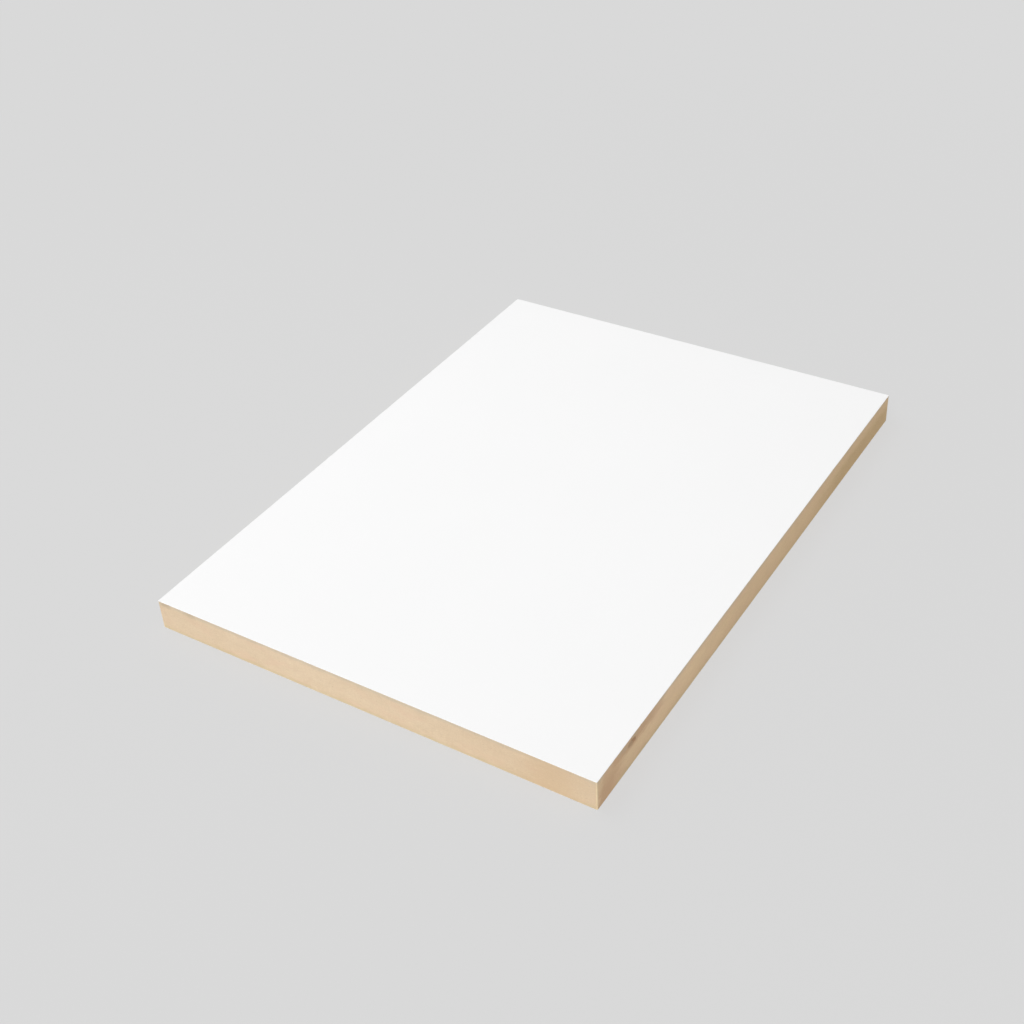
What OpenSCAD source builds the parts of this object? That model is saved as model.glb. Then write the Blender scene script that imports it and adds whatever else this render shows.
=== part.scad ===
// White-faced MDF panel, cut to size: a fibreboard core with a thin hard facing pressed on
// each face and its four edges left bare as sawn.
// It lies flat: X runs across the width, Y along the length and Z up through the thickness.
// The origin is the middle of the underside.

/* [Panel] */
// Width of the panel
panel_width = 260; // [100:1:1220]
// Length of the panel
panel_length = 355; // [100:1:2440]
// Thickness of the finished panel, with both facings
panel_thickness = 18; // [6:1:40]

/* [Facings] */
// Thickness of the pressed facing on each face
facing_thickness = 0.2; // [0.15:0.05:1]
// Width of the 45 degree bevel that sanding leaves round each facing's outer rim
rim_bevel = 0.1; // [0.02:0.01:0.12]

/* [Edges] */
// Radius of the four upright corners, eased by sanding
corner_radius = 0.5; // [0.2:0.1:10]

/* [Hidden] */
$fn = 64;

// The core fills what the two facings leave
core_thickness = panel_thickness - 2 * facing_thickness;
// Straight runs of the outline between its rounded corners
straight_x = panel_width - 2 * corner_radius;
straight_y = panel_length - 2 * corner_radius;

// Places a copy of its child at the centre of each rounded corner
module at_corners() {
    for (x = [-straight_x / 2, straight_x / 2], y = [-straight_y / 2, straight_y / 2])
        translate([x, y])
            children();
}

// Outline of the panel seen from above
module panel_outline() {
    square([panel_width, straight_y], center = true);
    square([straight_x, panel_length], center = true);
    at_corners()
        circle(r = corner_radius);
}

// Half the section of a facing, from its middle out to the bevelled rim
module half_section(reach) {
    polygon([
        [0, 0],
        [reach, 0],
        [reach, facing_thickness - rim_bevel],
        [reach - rim_bevel, facing_thickness],
        [0, facing_thickness]
    ]);
}

// A strip with the facing's section from rim to rim, lying along Y
module bevelled_strip(width, length) {
    rotate([90, 0, 0])
        linear_extrude(length, center = true) {
            half_section(width / 2);
            mirror([1, 0])
                half_section(width / 2);
        }
}

// A facing that lies on Z = 0 with its bevelled rim upwards
module facing() {
    bevelled_strip(panel_width, straight_y);
    rotate([0, 0, 90])
        bevelled_strip(panel_length, straight_x);
    at_corners()
        rotate_extrude()
            half_section(corner_radius);
}

// Fibreboard between the facings, bare on its four sawn edges
module mdf_core() {
    color("#E1C9AB")
        translate([0, 0, facing_thickness])
            linear_extrude(core_thickness)
                panel_outline();
}

// White facing on the upper face
module top_facing() {
    color("#F8F8F8")
        translate([0, 0, panel_thickness - facing_thickness])
            facing();
}

// White facing on the underside, which keeps the panel flat by balancing the upper one
module bottom_facing() {
    color("#F8F8F8")
        translate([0, 0, facing_thickness])
            mirror([0, 0, 1])
                facing();
}

mdf_core();
top_facing();
bottom_facing();
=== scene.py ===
import math

import bpy
import numpy as np
from mathutils import Matrix, Vector


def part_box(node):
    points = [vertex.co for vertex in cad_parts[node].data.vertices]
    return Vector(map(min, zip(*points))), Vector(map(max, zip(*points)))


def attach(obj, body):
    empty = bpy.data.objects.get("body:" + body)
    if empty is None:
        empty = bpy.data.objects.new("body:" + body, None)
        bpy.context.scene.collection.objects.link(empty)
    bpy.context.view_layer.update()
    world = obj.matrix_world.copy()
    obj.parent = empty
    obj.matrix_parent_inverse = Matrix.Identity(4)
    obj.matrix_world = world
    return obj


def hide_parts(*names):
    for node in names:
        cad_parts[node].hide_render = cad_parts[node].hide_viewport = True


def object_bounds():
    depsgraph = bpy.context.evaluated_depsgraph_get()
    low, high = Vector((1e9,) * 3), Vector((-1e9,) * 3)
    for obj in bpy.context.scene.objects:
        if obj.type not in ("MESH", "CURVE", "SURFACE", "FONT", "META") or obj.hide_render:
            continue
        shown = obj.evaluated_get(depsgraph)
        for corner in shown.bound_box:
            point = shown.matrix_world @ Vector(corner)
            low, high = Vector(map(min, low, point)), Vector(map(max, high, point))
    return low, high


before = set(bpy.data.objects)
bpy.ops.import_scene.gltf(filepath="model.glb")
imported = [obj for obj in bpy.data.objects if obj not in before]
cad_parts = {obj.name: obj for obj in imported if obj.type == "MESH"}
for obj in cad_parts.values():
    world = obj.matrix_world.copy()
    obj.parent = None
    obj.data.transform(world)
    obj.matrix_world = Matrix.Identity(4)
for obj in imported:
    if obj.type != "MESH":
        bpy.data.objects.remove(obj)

MM = 0.001
SEED = 41

cad_low, cad_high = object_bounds()
core_low, core_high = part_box("mdf_core")
PANEL_WIDTH = cad_high.x - cad_low.x
PANEL_LENGTH = cad_high.y - cad_low.y
PANEL_TOP = cad_high.z
CORE_HEIGHT = core_high.z - core_low.z
CORE_MIDDLE = (core_low.z + core_high.z) / 2
CORNER_RADIUS = 0.5 * MM


# ---------------------------------------------------------------- shader maths

class Signal:
    """A shader socket that joins in Python sums: each operator adds the Math node it stands for."""

    def __init__(self, finish, socket):
        self.finish = finish
        self.socket = socket

    def __add__(self, other):
        return self.finish.maths("ADD", self, other)

    __radd__ = __add__

    def __sub__(self, other):
        return self.finish.maths("SUBTRACT", self, other)

    def __rsub__(self, other):
        return self.finish.maths("SUBTRACT", other, self)

    def __mul__(self, other):
        return self.finish.maths("MULTIPLY", self, other)

    __rmul__ = __mul__

    def __truediv__(self, other):
        return self.finish.maths("DIVIDE", self, other)

    def __pow__(self, other):
        return self.finish.maths("POWER", self, other)

    def __abs__(self):
        return self.finish.maths("ABSOLUTE", self)


class Finish:
    """The node tree of a material, or of the world."""

    def __init__(self, owner):
        self.owner = owner
        owner.use_nodes = True
        self.tree = owner.node_tree
        self.tree.nodes.clear()

    def add(self, kind, settings, inputs, output=0):
        """Adds a node: first its settings, then the value or link of each socket. Gives one output."""
        node = self.tree.nodes.new(kind)
        for name, value in settings.items():
            setattr(node, name, value)
        for key, value in inputs.items():
            if isinstance(value, Signal):
                self.tree.links.new(value.socket, node.inputs[key])
            else:
                node.inputs[key].default_value = value
        return Signal(self, node.outputs[output]) if len(node.outputs) else node

    def maths(self, operation, *values):
        return self.add("ShaderNodeMath", {"operation": operation}, dict(enumerate(values)))

    def largest(self, a, b):
        return self.maths("MAXIMUM", a, b)

    def ramp(self, value, start, end, low=0.0, high=1.0):
        """Turns smoothly from low to high as value goes from start to end, and stays level outside."""
        return self.add("ShaderNodeMapRange", {"interpolation_type": "SMOOTHSTEP"}, {
            "Value": value, "From Min": start, "From Max": end, "To Min": low, "To Max": high})

    def hump(self, value, middle, reach):
        """1 at middle, and 0 at reach or more to either side."""
        return self.ramp(abs(value - middle), 0.0, reach, 1.0, 0.0)

    def place(self, kind="Object"):
        """The position on the piece, as its three lengths. Generated gives the world's directions."""
        where = self.add("ShaderNodeTexCoord", {}, {}, kind)
        return [self.add("ShaderNodeSeparateXYZ", {}, {0: where}, axis) for axis in range(3)]

    def point(self, x, y, z):
        return self.add("ShaderNodeCombineXYZ", {}, {0: x, 1: y, 2: z})

    def noise(self, where, size, detail=2.0, roughness=0.5):
        """Cloudy noise round 0, with lumps of about this size."""
        return self.add("ShaderNodeTexNoise", {"noise_dimensions": "3D"}, {
            "Vector": where, "Scale": 1 / size, "Detail": detail, "Roughness": roughness}) - 0.5

    def blend(self, factor, first, second):
        """From colour first to colour second."""
        return self.add("ShaderNodeMix", {"data_type": "RGBA", "clamp_factor": True}, {
            0: factor, 6: first, 7: second}, 2)

    def bump(self, height, distance, strength=1.0):
        return self.add("ShaderNodeBump", {}, {
            "Height": height, "Distance": distance, "Strength": strength})

    def surface(self, **sockets):
        """Ends the tree in a Principled shader. A socket's name is given with _ for its spaces."""
        named = {name.replace("_", " "): value for name, value in sockets.items()}
        shader = self.add("ShaderNodeBsdfPrincipled", {}, named)
        self.add("ShaderNodeOutputMaterial", {}, {"Surface": shader})
        return self.owner

    def seen_directly(self):
        """1 for what the camera sees, straight or in a reflection, and 0 for the light that falls."""
        rays = [self.add("ShaderNodeLightPath", {}, {}, ray)
                for ray in ("Is Camera Ray", "Is Glossy Ray", "Is Transmission Ray")]
        return self.largest(self.largest(rays[0], rays[1]), rays[2])


def rgb(red, green, blue):
    return (red, green, blue, 1.0)


# ---------------------------------------------------------------- the panel's plan

# The faces' grid: the size of its cells, and how far inside the outline the grid stops
CELL = 5 * MM
GRID_INSET = 2 * MM

# The sides are numbered as the plan runs: front, right, back, left
RIGHT_SIDE = 1


class Plan:
    """The panel's outline as points, anticlockwise seen from above, starting on the front edge at the
    left. Each straight side is cut into the cells of the faces' grid, and each cell into as many cuts
    as the piece needs. The four corners are short arcs."""

    def __init__(self, cuts, arc_cuts):
        self.cuts = cuts
        half = np.array([PANEL_WIDTH, PANEL_LENGTH]) / 2
        self.cells = [round(2 * (h - CORNER_RADIUS) / CELL) for h in half]
        points, normals, self.side_starts = [], [], [0]
        for side in range(4):
            angle = (side - 1) * math.pi / 2
            outward = np.array([math.cos(angle), math.sin(angle)])
            along = np.array([-outward[1], outward[0]])
            reach = abs(along @ half) - CORNER_RADIUS
            foot = outward * abs(outward @ half)
            steps = np.linspace(-reach, reach, self.cells[side % 2] * cuts + 1)
            points.append(foot + steps[:, None] * along)
            normals.append(np.tile(outward, (len(steps), 1)))
            turn = angle + np.linspace(0, math.pi / 2, arc_cuts + 1)[1:-1]
            spokes = np.stack([np.cos(turn), np.sin(turn)], axis=1)
            points.append(foot + along * reach - outward * CORNER_RADIUS + CORNER_RADIUS * spokes)
            normals.append(spokes)
            self.side_starts.append(self.side_starts[-1] + len(steps) + len(turn))
        self.points = np.concatenate(points)
        self.normals = np.concatenate(normals)
        gaps = np.linalg.norm(np.diff(self.points, axis=0), axis=1)
        self.run = np.concatenate([[0.0], np.cumsum(gaps)])
        self.perimeter = self.run[-1] + np.linalg.norm(self.points[0] - self.points[-1])

    def ring(self, inward, height):
        """The outline moved inward by a distance, which may differ at each point, at a height."""
        inward = np.broadcast_to(inward, len(self.points))
        flat = self.points - self.normals * inward[:, None]
        return np.column_stack([flat, np.broadcast_to(height, len(flat))])


def grain(plan, rng, levels, level_gap, run_length, level_length):
    """A random field over the columns of a plan and some levels, smooth over these lengths, with a
    spread of 1. It closes on itself round the panel."""
    columns = len(plan.points)
    padded = 2 * levels
    white = np.fft.fft2(rng.standard_normal((padded, columns)))
    across = np.fft.fftfreq(padded, level_gap)[:, None] * level_length
    around = np.fft.fftfreq(columns, plan.perimeter / columns)[None, :] * run_length
    smooth = np.fft.ifft2(white * np.exp(-2 * (across**2 + around**2))).real[:levels]
    return (smooth - smooth.mean()) / smooth.std()


# ---------------------------------------------------------------- flat maps

# Their name, and the share of a row's height that stays empty above it
FLAT_MAP = "OFBake"
ROW_GAP = 0.06


class Patterns:
    """Where a piece's surface lies on its flat map, like the patterns of a sheet to be cut. Each patch
    is (left, low, right, high) on a square of side 1. The wall's strip is folded into rows."""

    def __init__(self, wall, rows, bottom, top):
        self.wall = wall
        self.rows = rows
        self.ends = (bottom, top)

    def of_wall(self, plan, levels):
        """The places of the four corners of each wall face."""
        left, low, right, high = self.wall
        columns = len(plan.points)
        row = np.arange(columns) * self.rows // columns
        row_starts = plan.run[np.searchsorted(row, np.arange(self.rows))]
        longest = np.diff(np.append(row_starts, plan.perimeter)).max()
        run_here = (plan.run - row_starts[row]) / longest
        run_there = (np.append(plan.run[1:], plan.perimeter) - row_starts[row]) / longest
        row_height = (high - low) / self.rows
        places = np.empty((levels - 1, columns, 4, 2))
        places[..., 0] = left + (right - left) * np.stack([run_here, run_there, run_there, run_here], 1)
        for corner, above in enumerate((0, 0, 1, 1)):
            share = (np.arange(levels - 1) + above)[:, None] / (levels - 1)
            places[:, :, corner, 1] = low + row_height * (row + share * (1 - ROW_GAP))
        return places.reshape(-1, 2)

    def of_end(self, end, points):
        """The places of points on the bottom face, end 0, or on the top face, end 1."""
        left, low, right, high = self.ends[end]
        across = 0.5 + points[:, 0] / PANEL_WIDTH * (1 if end else -1)
        along = 0.5 + points[:, 1] / PANEL_LENGTH
        return np.column_stack([left + (right - left) * across, low + (high - low) * along])


# ---------------------------------------------------------------- closed meshes

SHARP_ANGLE = math.radians(50)


def flat_face(x, y):
    return np.zeros_like(x)


def wall_faces(columns, levels):
    """The faces between each ring and the one above it."""
    here = np.arange(columns)
    there = np.roll(here, -1)
    lowest = np.stack([here, there, there + columns, here + columns], axis=1)
    up = columns * np.arange(levels - 1)
    return (lowest + up[:, None, None]).reshape(-1, 4).tolist()


def face_grid(plan, height, dips):
    """The points of the grid inside a face, row by row, the order of those along each side of its
    border, and its faces, which look up."""
    spans = [np.linspace(-(h - GRID_INSET), h - GRID_INSET, n + 1)
             for h, n in zip((PANEL_WIDTH / 2, PANEL_LENGTH / 2), plan.cells)]
    x, y = np.meshgrid(*spans)
    points = np.column_stack([x.ravel(), y.ravel(), (height + dips(x, y)).ravel()])
    index = np.arange(len(points)).reshape(x.shape)
    border = [index[0, :], index[:, -1], index[-1, ::-1], index[::-1, 0]]
    quads = np.stack([index[:-1, :-1], index[:-1, 1:], index[1:, 1:], index[1:, :-1]], axis=-1)
    return points, border, quads.reshape(-1, 4)


def border_faces(plan, border, ring_start, grid_start):
    """The faces that join a ring to the grid inside it: one for each cell, and one at each corner."""
    columns = len(plan.points)
    faces = []
    for side, edge in enumerate(border):
        starts = [plan.side_starts[side] + cell * plan.cuts for cell in range(len(edge))]
        starts.append(plan.side_starts[side + 1])
        for cell, (first, last) in enumerate(zip(starts, starts[1:])):
            outer = [ring_start + i % columns for i in range(first, last + 1)]
            inner = [grid_start + int(i) for i in edge[cell:cell + 2][::-1]]
            faces.append(outer + inner)
    return faces


def closed_solid(name, plan, rings, patterns, bottom_dips=flat_face, top_dips=flat_face):
    """A closed mesh of rings from the lowest to the highest, with a gridded face at each end."""
    columns = len(plan.points)
    faces = wall_faces(columns, len(rings))
    places = [patterns.of_wall(plan, len(rings))]
    points = np.concatenate(rings)
    for end, (dips, winding) in enumerate(((bottom_dips, -1), (top_dips, 1))):
        ring_start = end * (len(rings) - 1) * columns
        grid_start = len(points)
        grid, border, quads = face_grid(plan, points[ring_start, 2], dips)
        end_faces = (quads + grid_start).tolist() + border_faces(plan, border, ring_start, grid_start)
        end_faces = [face[::winding] for face in end_faces]
        points = np.concatenate([points, grid])
        places.append(patterns.of_end(end, points[np.concatenate(end_faces)]))
        faces += end_faces
    mesh = bpy.data.meshes.new(name)
    mesh.from_pydata(points.tolist(), [], faces)
    mesh.uv_layers.new(name=FLAT_MAP).uv.foreach_set("vector", np.concatenate(places).ravel())
    mesh.validate()
    mesh.shade_smooth()
    mesh.set_sharp_from_angle(angle=SHARP_ANGLE)
    piece = bpy.data.objects.new(name, mesh)
    bpy.context.scene.collection.objects.link(piece)
    return piece


# ---------------------------------------------------------------- the fibreboard core

CORE_LEVELS = 36
CORE_PATTERNS = Patterns(wall=(0.002, 0.05, 0.998, 0.999), rows=8,
                         bottom=(0.002, 0.002, 0.032, 0.042), top=(0.038, 0.002, 0.068, 0.042))

# How far the sawn edge lies inside the true outline, and how much further in its soft middle lies.
# Then how far from a facing this relief is whole, and how far from one the board is soft
SAWN_IN = 0.016 * MM
SOFT_IN = 0.02 * MM
RELIEF_FROM = CORE_HEIGHT / 24
SOFT_FROM = CORE_HEIGHT / 6

# Slow waves in the sawn edge: their depth, length and height
WAVE_DEEP = 0.004 * MM
WAVE_LONG = 45 * MM
WAVE_HIGH = 30 * MM

# The saw's marks: their depth and spacing, how they lean, and how far they wander
SAW_DEEP = 0.004 * MM
SAW_PITCH = 3.1 * MM
SAW_LEAN = 0.35
SAW_WANDER = 0.6 * MM

# Pulled fibre: its depth, length and height. Where it pulls harder than PIT_RARE, it leaves a pit
PULL_DEEP = 0.006 * MM
PULL_LONG = 2.2 * MM
PULL_HIGH = 1.4 * MM
PIT_DEEP = 0.06 * MM
PIT_RARE = 2.4

# A small torn hollow in the right edge: its middle, back from the front corner and down from the
# panel's top, its half length, half height and depth. Then where its dark lip lies, a brown mark with
# painted shadow at the hollow's far rim, and its reach
HOLLOW_AT = 32.0 * MM
HOLLOW_DOWN = 3.8 * MM
HOLLOW_LONG = 3.6 * MM
HOLLOW_HIGH = 1.7 * MM
HOLLOW_DEEP = 0.6 * MM
LIP_AT = 34.8 * MM
LIP_REACH = 1.6 * MM


def core_relief(plan, heights):
    """How far the sawn edge lies inside the true outline, at each level and column."""
    rng = np.random.default_rng(SEED)
    gap = heights[1] - heights[0]
    up = heights[:, None]
    depth = CORE_HEIGHT / 2 - np.abs(up - CORE_MIDDLE)
    soft = np.clip(depth / SOFT_FROM, 0, 1)
    wave = grain(plan, rng, len(heights), gap, WAVE_LONG, WAVE_HIGH)
    pulled = grain(plan, rng, len(heights), gap, PULL_LONG, PULL_HIGH)
    blade = 2 * math.pi * (plan.run + SAW_LEAN * up + SAW_WANDER * wave) / SAW_PITCH
    relief = SAWN_IN + WAVE_DEEP * wave + SAW_DEEP * np.sin(blade)
    relief = relief + (SOFT_IN + PULL_DEEP * pulled) * soft
    pits = np.clip(pulled - PIT_RARE, 0, 2) * PIT_DEEP * soft
    relief = relief * np.clip(depth / RELIEF_FROM, 0, 1) + pits
    return np.clip(relief, 0, CORNER_RADIUS) + hollow_bite(plan, up, pulled)


def hollow_bite(plan, up, pulled):
    """How much further in the edge lies in the torn hollow. It is a scoop that grows deeper towards the
    back, and the pulled fibre makes it ragged."""
    back = CORNER_RADIUS + plan.run - plan.run[plan.side_starts[RIGHT_SIDE]]
    far = (back - HOLLOW_AT) / HOLLOW_LONG
    under = (PANEL_TOP - up - HOLLOW_DOWN) / HOLLOW_HIGH
    bite = np.clip(1.1 - far**2 - under**2 - 0.25 * pulled, 0, 1) ** 0.7
    scoop = np.clip(0.5 + 0.5 * far, 0, 1)
    return HOLLOW_DEEP * bite * scoop * (1 + 0.2 * pulled)


def fibreboard_core():
    plan = Plan(cuts=9, arc_cuts=6)
    heights = np.linspace(core_low.z, core_high.z, CORE_LEVELS)
    relief = core_relief(plan, heights)
    rings = [plan.ring(inward, height) for inward, height in zip(relief, heights)]
    return closed_solid("fibreboard_core", plan, rings, CORE_PATTERNS)


# ---------------------------------------------------------------- the fibreboard's looks

# Clean fibre, from brown to pale and in rosy patches, on the short edges and on the long ones. The
# long ones are warmer and more saturated, a painted tint of the shade the right edge lies in
SHORT_EDGE_FIBRE = [rgb(0.682, 0.520, 0.350), rgb(0.860, 0.692, 0.494), rgb(0.795, 0.580, 0.414)]
LONG_EDGE_SHADE_TINTED_FIBRE = [rgb(0.668, 0.482, 0.297), rgb(0.862, 0.650, 0.410), rgb(0.790, 0.560, 0.370)]

# Stray fibres
DARK_FIBRE = rgb(0.42, 0.28, 0.16)
PALE_FIBRE = rgb(0.95, 0.82, 0.62)

# The denser layers pressed under the top facing and over the bottom one
PRESSED_TOP = rgb(0.625, 0.535, 0.408)
PRESSED_BOTTOM = rgb(0.664, 0.536, 0.312)

# Stains and wear. Some also paint light and shade: the bruise colours paint shade along the bottom of
# the right edge, the lip's colour paints shadow at the hollow's far rim, and the corners' pale is a
# painted highlight
GREY_SMUDGE = rgb(0.590, 0.470, 0.325)
WARM_STAIN = rgb(0.705, 0.512, 0.320)
# The bruise colours also paint the shade along the bottom of the right edge
DULL_BRUISE_AND_SHADE = rgb(0.590, 0.432, 0.278)
RUSTY_BRUISE_AND_SHADE = rgb(0.635, 0.420, 0.256)
BROWN_FAR_END = rgb(0.600, 0.430, 0.240)
TORN_HOLLOW = rgb(0.478, 0.322, 0.198)
# A reddish-brown mark darkened with painted shadow at the hollow's far rim
LIP_BROWN_AND_SHADOW = rgb(0.422, 0.252, 0.144)
# A painted highlight: the pale line where the upright corners catch the light
PAINTED_CORNER_HIGHLIGHT = rgb(0.900, 0.750, 0.500)

# How far from a side of the panel its looks begin, and how far from it they are complete
NEAR_EDGE = (1.2 * MM, 0.4 * MM)
NEAR_FRONT = (0.8 * MM, 0.3 * MM)
# The reach of the painted highlight on the upright corners
CORNER_HIGHLIGHT_REACH = (0.9 * MM, 0.3 * MM)

# The pressed layers: how deep from a facing they start to fade and end, and how far down from the top
# their colour starts to change and has changed
PRESSED_DEPTH = (0.4 * MM, 3.0 * MM)
PRESSED_CHANGE = (4 * MM, 14 * MM)

# Marks on the front edge: the middle and reach of each, then where they start to fade and end. The
# smudges are measured from the left-hand end and down, and the warm end from the right-hand end
SMUDGES = [(4 * MM, 6 * MM), (21 * MM, 5 * MM)]
SMUDGE_FADES_DOWN = (1.4 * MM, 4.2 * MM)
WARM_MIDDLE = (24 * MM, 22 * MM)
WARM_FADES_LEFT = (36 * MM, 100 * MM)

# Marks on the right edge, back from the front corner and down: the middle and reach of the pale
# stretch, then where each bruise, the painted shade along the bottom and the browner far end start to
# change and have changed
PALE_STRETCH = (80 * MM, 75 * MM)
STREAK_STARTS = (11 * MM, 17 * MM)
STREAK_ENDS = (48 * MM, 70 * MM)
STREAK_FADES_DOWN = (4.8 * MM, 8.0 * MM)
BUTT_STARTS = (4 * MM, 9 * MM)
BUTT_ENDS = (15 * MM, 31 * MM)
BUTT_GROWS_DOWN = (0.0, 11 * MM)
# Where the painted shade along the right edge's bottom starts and where it is full
BOTTOM_SHADE_GROWS_DOWN = (10 * MM, 17.5 * MM)
RUST_ENDS = (14 * MM, 22 * MM)
RUST_GROWS_DOWN = (1.5 * MM, 5 * MM)
FAR_END_GROWS = (60 * MM, 330 * MM)
LOW_FAR_END_GROWS = (228 * MM, 300 * MM)
LOW_FAR_END_GROWS_DOWN = (3 * MM, 13 * MM)


class SawnBoard(Finish):
    """Sawn MDF: felted fibre that lies with the faces. It holds the places and the noises that the
    board's looks share: clouds, patches, flecks and fuzz, each finer than the last."""

    def __init__(self):
        super().__init__(bpy.data.materials.new("raw_fibreboard"))
        self.x, self.y, self.z = self.place()
        self.lying = self.stretched(3)
        self.flat = self.stretched(7)
        self.down = PANEL_TOP - self.z
        self.back = self.y - cad_low.y
        self.cloud = self.noise(self.lying, 34 * MM, 3.0)
        self.patch = self.noise(self.lying, 8 * MM, 3.0)
        self.fleck = self.noise(self.lying, 1.1 * MM, 3.0, 0.65)
        self.fuzz = self.noise(self.lying, 0.3 * MM, 2.0, 0.6)
        self.scored = self.noise(self.stretched(0.07), 0.45 * MM, 1.0)
        self.torn = self.noise(self.flat, 0.9 * MM, 3.0, 0.6)
        self.on_long = self.near_side(abs(self.x), PANEL_WIDTH, *NEAR_EDGE)
        self.on_right = self.near_side(self.x, PANEL_WIDTH, *NEAR_EDGE)
        self.on_front = self.near_side(0 - self.y, PANEL_LENGTH, *NEAR_FRONT)
        depth = self.ragged(CORE_HEIGHT / 2 - abs(self.z - CORE_MIDDLE), 3 * MM)
        self.dense = self.ramp(depth, *PRESSED_DEPTH, low=1.0, high=0.0)

    def stretched(self, squeeze):
        """The place on the board with its height multiplied, for noises that lie flatter or stand."""
        return self.point(self.x, self.y, self.z * squeeze)

    def near_side(self, out, size, start, end):
        """Rises to 1 between two distances from the side of the panel. out is how far out from the
        middle a place lies, and size is the panel's size that way."""
        return self.ramp(out, size / 2 - start, size / 2 - end)

    def ragged(self, distance, wander):
        """A distance that wanders to and fro, so that what is measured with it has a ragged border."""
        return distance + self.patch * wander

    def clean_fibre(self):
        """Fibre from brown to pale in clouds, patches, flecks and fuzz, with rosy patches. It is palest
        left of the middle of the front edge and in a stretch of the right edge. On the long edges it is
        warmer, a painted tint of shade."""
        left_of_middle = self.ramp(abs(self.x + 26 * MM), 20 * MM, 100 * MM, low=0.15, high=-0.03)
        pale_stretch = self.on_right * self.hump(self.back, *PALE_STRETCH) * 0.22
        shade = 0.5 + left_of_middle + pale_stretch + self.cloud * 0.5 + self.patch * 0.5
        shade = shade + self.fleck * 0.8 + self.fuzz * 1.4 + self.scored * 0.3
        # the long edges get a warmer copy of the fibre, a painted tint of the shade on the right edge
        brown, pale, rosy = (self.blend(self.on_long, short, long)
                             for short, long in zip(SHORT_EDGE_FIBRE, LONG_EDGE_SHADE_TINTED_FIBRE))
        blush = self.noise(self.point(self.x, self.z * 2, self.y), 15 * MM, 2.0)
        return self.blend(self.ramp(blush, -0.05, 0.25) * 0.5, self.blend(shade, brown, pale), rosy)

    def pressed_layer(self):
        """The pressed layers' colour, greyer at the top."""
        return self.blend(self.ramp(self.down, *PRESSED_CHANGE), PRESSED_TOP, PRESSED_BOTTOM)

    def smudges(self):
        """Two grey smudges under the facing, at the left-hand end of the front edge."""
        from_left = self.ragged(self.x - cad_low.x, 6 * MM)
        under = self.ragged(self.down, 2 * MM)
        along = self.largest(*(self.hump(from_left, *smudge) for smudge in SMUDGES))
        return self.on_front * along * self.ramp(under, *SMUDGE_FADES_DOWN, low=0.8, high=0.0)

    def warm_end(self):
        """The front edge turns warmer and darker just short of its right-hand end."""
        from_right = self.ragged(cad_high.x - self.x, 20 * MM)
        return self.on_front * (self.hump(from_right, *WARM_MIDDLE) * 0.5
                                + self.ramp(from_right, *WARM_FADES_LEFT, low=0.2, high=0.0))

    def bruises_and_bottom_shade(self):
        """Browned places on the right edge: a rubbed streak under the facing and the butt next to the
        front corner. Along the bottom the edge darkens a little with painted shade."""
        back = self.ragged(self.back, 9 * MM)
        under = self.ragged(self.down, 6 * MM) + self.cloud * (3 * MM)
        streak = (self.ramp(back, *STREAK_STARTS)
                  * self.ramp(back, *STREAK_ENDS, low=1.0, high=0.0)
                  * self.ramp(under, *STREAK_FADES_DOWN, low=0.95, high=0.0))
        butt = (self.ramp(back + self.down * 0.35, *BUTT_STARTS)
                * self.ramp(back + self.down * 0.3, *BUTT_ENDS, low=1.0, high=0.0)
                * self.ramp(under, *BUTT_GROWS_DOWN, low=0.5, high=0.95))
        # painted shade: the right edge darker towards its bottom, where less light reaches it
        bottom = self.ramp(self.down, *BOTTOM_SHADE_GROWS_DOWN, low=0.0, high=0.3)
        return self.on_right * self.largest(self.largest(streak, butt), bottom)

    def bruise_and_shade_colour(self):
        """The colour of the bruises and of the painted shade along the bottom: dull under the facing,
        and rustier below that and at the front corner.
        """
        rust = (self.noise(self.stretched(1), 6 * MM, 1.0)
                + self.ramp(self.back, *RUST_ENDS, low=0.2, high=0.0)
                + self.ramp(self.down, *RUST_GROWS_DOWN, low=-0.12, high=0.12))
        return self.blend(self.ramp(rust, -0.25, 0.08), DULL_BRUISE_AND_SHADE, RUSTY_BRUISE_AND_SHADE)

    def far_end(self):
        """The right edge turns browner towards the back, most of all in its lower half."""
        back = self.ragged(self.back, 30 * MM)
        under = self.ragged(self.down, 8 * MM)
        everywhere = self.ramp(back, *FAR_END_GROWS, low=0.0, high=0.46)
        lower_half = (self.ramp(back, *LOW_FAR_END_GROWS)
                      * self.ramp(under, *LOW_FAR_END_GROWS_DOWN, low=0.0, high=0.7))
        return self.on_right * (everywhere + lower_half)

    def hollow_and_lip_shadow(self):
        """The hollow torn in the right edge, and the dark lip at its far end: a reddish-brown mark
        darkened with painted shadow of the hollow's far rim.
        """
        ragged = self.patch + self.fleck * 0.9
        far = (self.back - HOLLOW_AT) / HOLLOW_LONG + ragged * 0.8
        under = (self.down - HOLLOW_DOWN) / HOLLOW_HIGH + ragged * 1.1
        hollow = self.ramp(far * far + under * under, 0.75, 1.2, low=0.85, high=0.0)
        far = (self.back - LIP_AT) / LIP_REACH + ragged * 1.5
        under = (self.down - HOLLOW_DOWN) / LIP_REACH + ragged
        lip_and_shadow = self.ramp(far * far + under * under, 0.4, 1.2, low=0.85, high=0.0)
        return self.on_right * hollow, self.on_right * lip_and_shadow

    def painted_corner_highlights(self):
        """Painted highlights on the four upright corners: the pale line where the arris catches the
        light.
        """
        corner = (self.near_side(abs(self.x), PANEL_WIDTH, *CORNER_HIGHLIGHT_REACH)
                  * self.near_side(abs(self.y), PANEL_LENGTH, *CORNER_HIGHLIGHT_REACH))
        return corner * (0.6 + self.patch + self.fleck)


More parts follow.
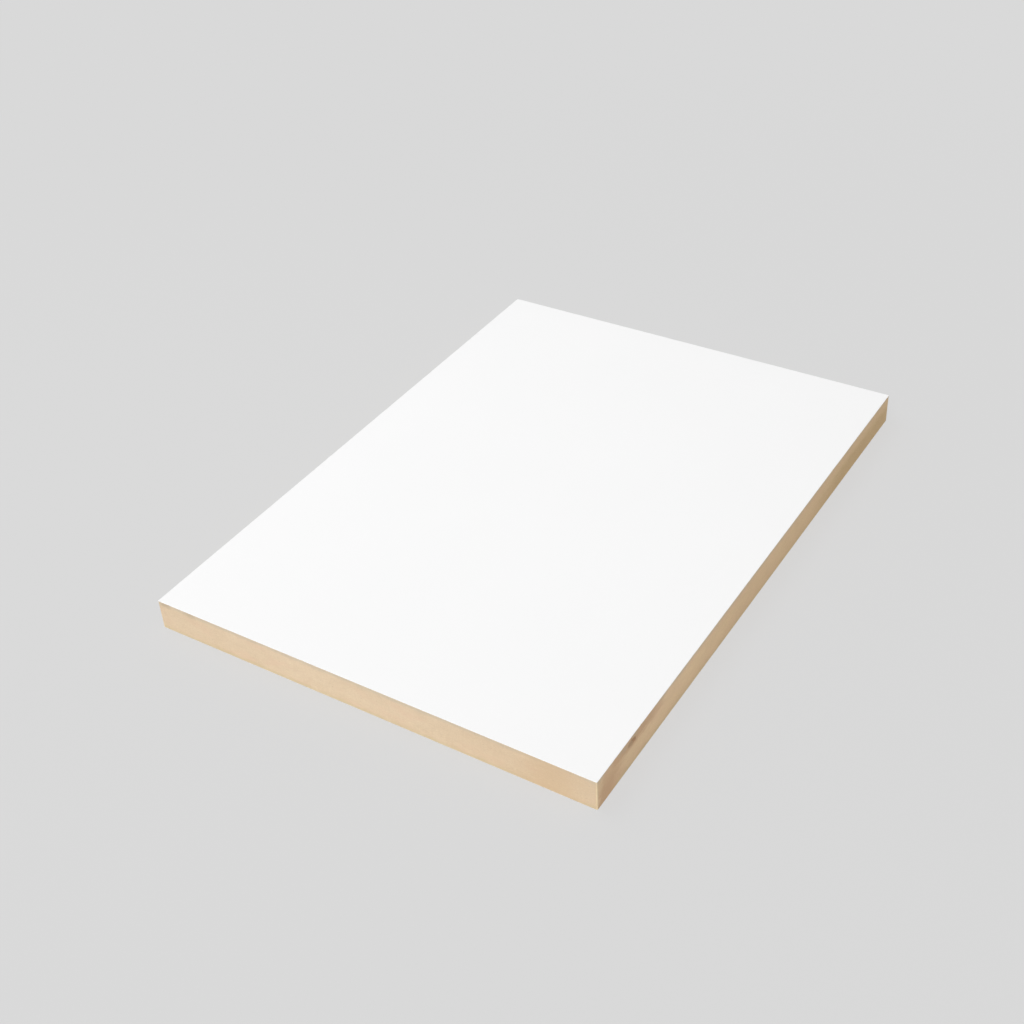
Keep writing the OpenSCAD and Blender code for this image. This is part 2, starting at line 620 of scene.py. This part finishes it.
def raw_fibreboard():
    """The board's material: clean fibre, then its pressed layers, stains and wear, painted shade and a
    painted highlight, and stray fibres.
    """
    board = SawnBoard()
    colour = board.clean_fibre()
    colour = board.blend(board.dense * 0.6, colour, board.pressed_layer())
    colour = board.blend(board.smudges(), colour, GREY_SMUDGE)
    colour = board.blend(board.warm_end(), colour, WARM_STAIN)
    # bruises on the right edge, and painted shade along its bottom
    colour = board.blend(board.bruises_and_bottom_shade(), colour, board.bruise_and_shade_colour())
    colour = board.blend(board.far_end(), colour, BROWN_FAR_END)
    hollow, lip_and_shadow = board.hollow_and_lip_shadow()
    colour = board.blend(hollow * (1 + board.torn * 1.6), colour, TORN_HOLLOW)
    # the dark lip: a reddish-brown mark with painted shadow at the hollow's far rim
    colour = board.blend(lip_and_shadow, colour, LIP_BROWN_AND_SHADOW)
    # a painted highlight: the upright corners paler where the arris catches the light
    colour = board.blend(board.painted_corner_highlights(), colour, PAINTED_CORNER_HIGHLIGHT)

    dark_fibre = board.ramp(board.noise(board.flat, 1.9 * MM, 1.0), 0.19, 0.28)
    pale_fibre = board.ramp(board.noise(board.flat, 1.3 * MM, 1.0), 0.14, 0.24)
    colour = board.blend(dark_fibre * 0.38, colour, DARK_FIBRE)
    colour = board.blend(pale_fibre * 0.4, colour, PALE_FIBRE)

    height = board.fleck * 0.6 + board.fuzz + board.scored * 0.25 + (pale_fibre - dark_fibre) * 0.4
    height = height + hollow * (board.fleck * 2 + board.torn * 3.5)
    return board.surface(
        Base_Color=colour,
        Roughness=0.88 - board.dense * 0.1,
        Specular_IOR_Level=0.25,
        Normal=board.bump(height, 0.07 * MM, 0.9),
    )


# ---------------------------------------------------------------- the white facings

# The shown side: how deep its dips are, and how far in its flat starts, short of the corners' centres
DIP_DEEP = 0.001 * MM
RIM_INSET = 0.8 * CORNER_RADIUS

# The sanded bevel round it, which bows out a little: how far in from the rim and how far under the
# shown side each step lies, as shares of the bevel
RIM_BEVEL = 0.1 * MM
RIM_STEPS = [(0.0, 1.0), (0.3, 0.3), (1.0, 0.02)]

# The brittle rim: the depth and length of its fine chips, and of the wide ones, which are rarer
FINE_CHIP_DEEP = 0.006 * MM
FINE_CHIP_LONG = 0.5 * MM
WIDE_CHIP_DEEP = 0.11 * MM
WIDE_CHIP_LONG = 1.4 * MM
WIDE_CHIP_RARE = 2.0

# Patches of the flat map
RIM_PATCH = (0.73, 0.1, 0.998, 0.998)
RIM_ROWS = 16
SHOWN_PATCH = (0.002, 0.002, 0.722, 0.985)
HIDDEN_PATCH = (0.73, 0.002, 0.79, 0.084)

DULL_WHITE = rgb(0.894, 0.894, 0.894)
CLEAR_WHITE = rgb(0.906, 0.906, 0.906)


def facing_dips(x, y):
    """The facing follows the pressed board: it sinks a few microns here and there."""
    wave = np.sin(x / (31 * MM) + 0.6) * np.sin(y / (43 * MM)) + np.sin(x / (17 * MM) + y / (23 * MM))
    return -(2 + wave) * DIP_DEEP


def rim_chips(plan, seed):
    """How far the brittle rim of a facing has broken back, at each point round it."""
    rng = np.random.default_rng(seed)
    fine = grain(plan, rng, 2, MM, FINE_CHIP_LONG, MM)[0]
    wide = grain(plan, rng, 2, MM, WIDE_CHIP_LONG, MM)[0]
    return (FINE_CHIP_DEEP * np.clip(fine + 1, 0, 2)
            + WIDE_CHIP_DEEP * np.clip(wide + 0.4 * fine - WIDE_CHIP_RARE, 0, 2))


def facing(name, inner, outer, seed):
    """A facing whose hidden side lies at height inner and whose shown side lies at height outer."""
    plan = Plan(cuts=36, arc_cuts=10)
    chips = rim_chips(plan, seed)
    looks_up = outer > inner
    to_core = -RIM_BEVEL if looks_up else RIM_BEVEL
    rings = [plan.ring(chips, inner)]
    rings += [plan.ring(chips + into * RIM_BEVEL, outer + under * to_core) for into, under in RIM_STEPS]
    rings.append(plan.ring(RIM_INSET, outer))
    if looks_up:
        patterns = Patterns(RIM_PATCH, RIM_ROWS, bottom=HIDDEN_PATCH, top=SHOWN_PATCH)
        return closed_solid(name, plan, rings, patterns, top_dips=facing_dips)
    patterns = Patterns(RIM_PATCH, RIM_ROWS, bottom=SHOWN_PATCH, top=HIDDEN_PATCH)
    return closed_solid(name, plan, rings[::-1], patterns, bottom_dips=lambda x, y: -facing_dips(x, y))


def white_facing():
    """Pressed melamine: hard, white and satin, with a fine pearl texture."""
    finish = Finish(bpy.data.materials.new("white_facing"))
    where = finish.point(*finish.place())
    pearl = finish.noise(where, 0.7 * MM, 2.0)
    broad = finish.noise(where, 60 * MM, 2.0)
    return finish.surface(
        Base_Color=finish.blend(0.5 + broad, DULL_WHITE, CLEAR_WHITE),
        Roughness=0.7 + 0.1 * pearl + 0.05 * broad,
        Specular_IOR_Level=0.1,
        Normal=finish.bump(pearl, 0.03 * MM, 0.8),
    )


# ---------------------------------------------------------------- studio

# The grey behind the panel, and the floor: its paint, its size and sides, and how far under the
# panel it lies
BACKGROUND = 0.694
FLOOR_PAINT = rgb(0.667, 0.667, 0.667)
FLOOR_RADIUS = 14.0
FLOOR_SIDES = 96
FLOOR_DROP = 0.05 * MM


def direction(azimuth, elevation):
    """The way out from the panel at these angles in degrees. Azimuth 0 is in front, 90 to the right."""
    a, e = math.radians(azimuth), math.radians(elevation)
    return Vector((math.sin(a) * math.cos(e), -math.cos(a) * math.cos(e), math.sin(e)))


def world_light(level, fill, azimuth):
    """Even light from all round, and a low band of fill light on the side of an azimuth. A camera or
    a reflection sees the background's grey instead."""
    finish = Finish(bpy.data.worlds.new("studio"))
    x, y, z = finish.place("Generated")
    band = direction(azimuth, 0)
    towards = finish.largest(x * band.x + y * band.y, 0.0)
    light = level + towards * (1 - z) ** 2 * fill
    seen = finish.seen_directly()
    strength = light * (1 - seen) + seen * BACKGROUND
    shine = finish.add("ShaderNodeBackground", {}, {"Color": rgb(1, 1, 1), "Strength": strength})
    finish.add("ShaderNodeOutputWorld", {}, {"Surface": shine})
    bpy.context.scene.world = finish.owner


def floor_finish():
    """Light falls on plain paint. What is seen is mostly the background's grey, and near the panel some
    of the paint too, with the panel's shadow on it."""
    finish = Finish(bpy.data.materials.new("floor_paint"))
    paint = finish.add("ShaderNodeBsdfDiffuse", {}, {"Color": FLOOR_PAINT})
    even = finish.add("ShaderNodeEmission", {}, {"Color": rgb(1, 1, 1), "Strength": BACKGROUND})
    x, y, _ = finish.place()
    evenness = finish.ramp((x * x + y * y) ** 0.5, 0.25, 0.8, low=0.78, high=1.0)
    mixed = finish.add("ShaderNodeMixShader", {}, {
        0: finish.seen_directly() * evenness, 1: paint, 2: even})
    finish.add("ShaderNodeOutputMaterial", {}, {"Surface": mixed})
    return finish.owner


def floor():
    """A wide level floor, a hair under the panel."""
    turns = [2 * math.pi * i / FLOOR_SIDES for i in range(FLOOR_SIDES)]
    ring = [(FLOOR_RADIUS * math.cos(t), FLOOR_RADIUS * math.sin(t), 0.0) for t in turns]
    mesh = bpy.data.meshes.new("floor")
    mesh.from_pydata(ring, [], [list(range(FLOOR_SIDES))])
    mesh.materials.append(floor_finish())
    ground = bpy.data.objects.new("floor", mesh)
    ground.location = (0, 0, cad_low.z - FLOOR_DROP)
    bpy.context.scene.collection.objects.link(ground)


def lamp(name, azimuth, elevation, distance, size, power):
    """A round soft lamp aimed at the panel. It shines in reflections, but the camera never sees it."""
    data = bpy.data.lights.new(name, "AREA")
    data.shape = "DISK"
    data.size = size
    data.energy = power
    source = bpy.data.objects.new(name, data)
    away = direction(azimuth, elevation)
    source.location = away * distance
    source.rotation_mode = "QUATERNION"
    source.rotation_quaternion = away.to_track_quat("Z", "Y")
    source.visible_camera = False
    bpy.context.scene.collection.objects.link(source)


def camera(aim, azimuth, elevation, roll, distance, lens):
    """The camera looks at a point from a direction, turned by roll degrees round its line of sight."""
    data = bpy.data.cameras.new("camera")
    data.sensor_width = 36.0
    data.lens = lens
    data.clip_start = 0.01
    data.clip_end = 100.0
    view = bpy.data.objects.new("camera", data)
    away = direction(azimuth, elevation)
    level = away.to_track_quat("Z", "Y").to_matrix().to_4x4()
    view.matrix_world = (Matrix.Translation(Vector(aim) + away * distance) @ level
                         @ Matrix.Rotation(math.radians(roll), 4, "Z"))
    bpy.context.scene.collection.objects.link(view)
    bpy.context.scene.camera = view


# ---------------------------------------------------------------- putting it together

def finish_piece(piece, material, node):
    """The piece rides on the panel's one body and stands in for a node of the construction model."""
    piece.data.materials.append(material)
    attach(piece, "root")
    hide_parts(node)


bpy.context.scene.view_settings.view_transform = "Standard"
camera(aim=(-0.01462, -0.01644, 0.009), azimuth=34.00, elevation=36.91, roll=-3.62,
       distance=0.8508, lens=53.71)
world_light(level=0.305, fill=1.0, azimuth=-125)
lamp("key_lamp", azimuth=23, elevation=48.8, distance=20.0, size=16.0, power=3262)
lamp("side_lamp", azimuth=-76.7, elevation=65, distance=1.2, size=0.72, power=2.76)
floor()

white = white_facing()
finish_piece(fibreboard_core(), raw_fibreboard(), "mdf_core")
finish_piece(facing("white_top_facing", core_high.z, cad_high.z, SEED + 1), white,
             "top_facing")
finish_piece(facing("white_bottom_facing", core_low.z, cad_low.z, SEED + 2), white,
             "bottom_facing")
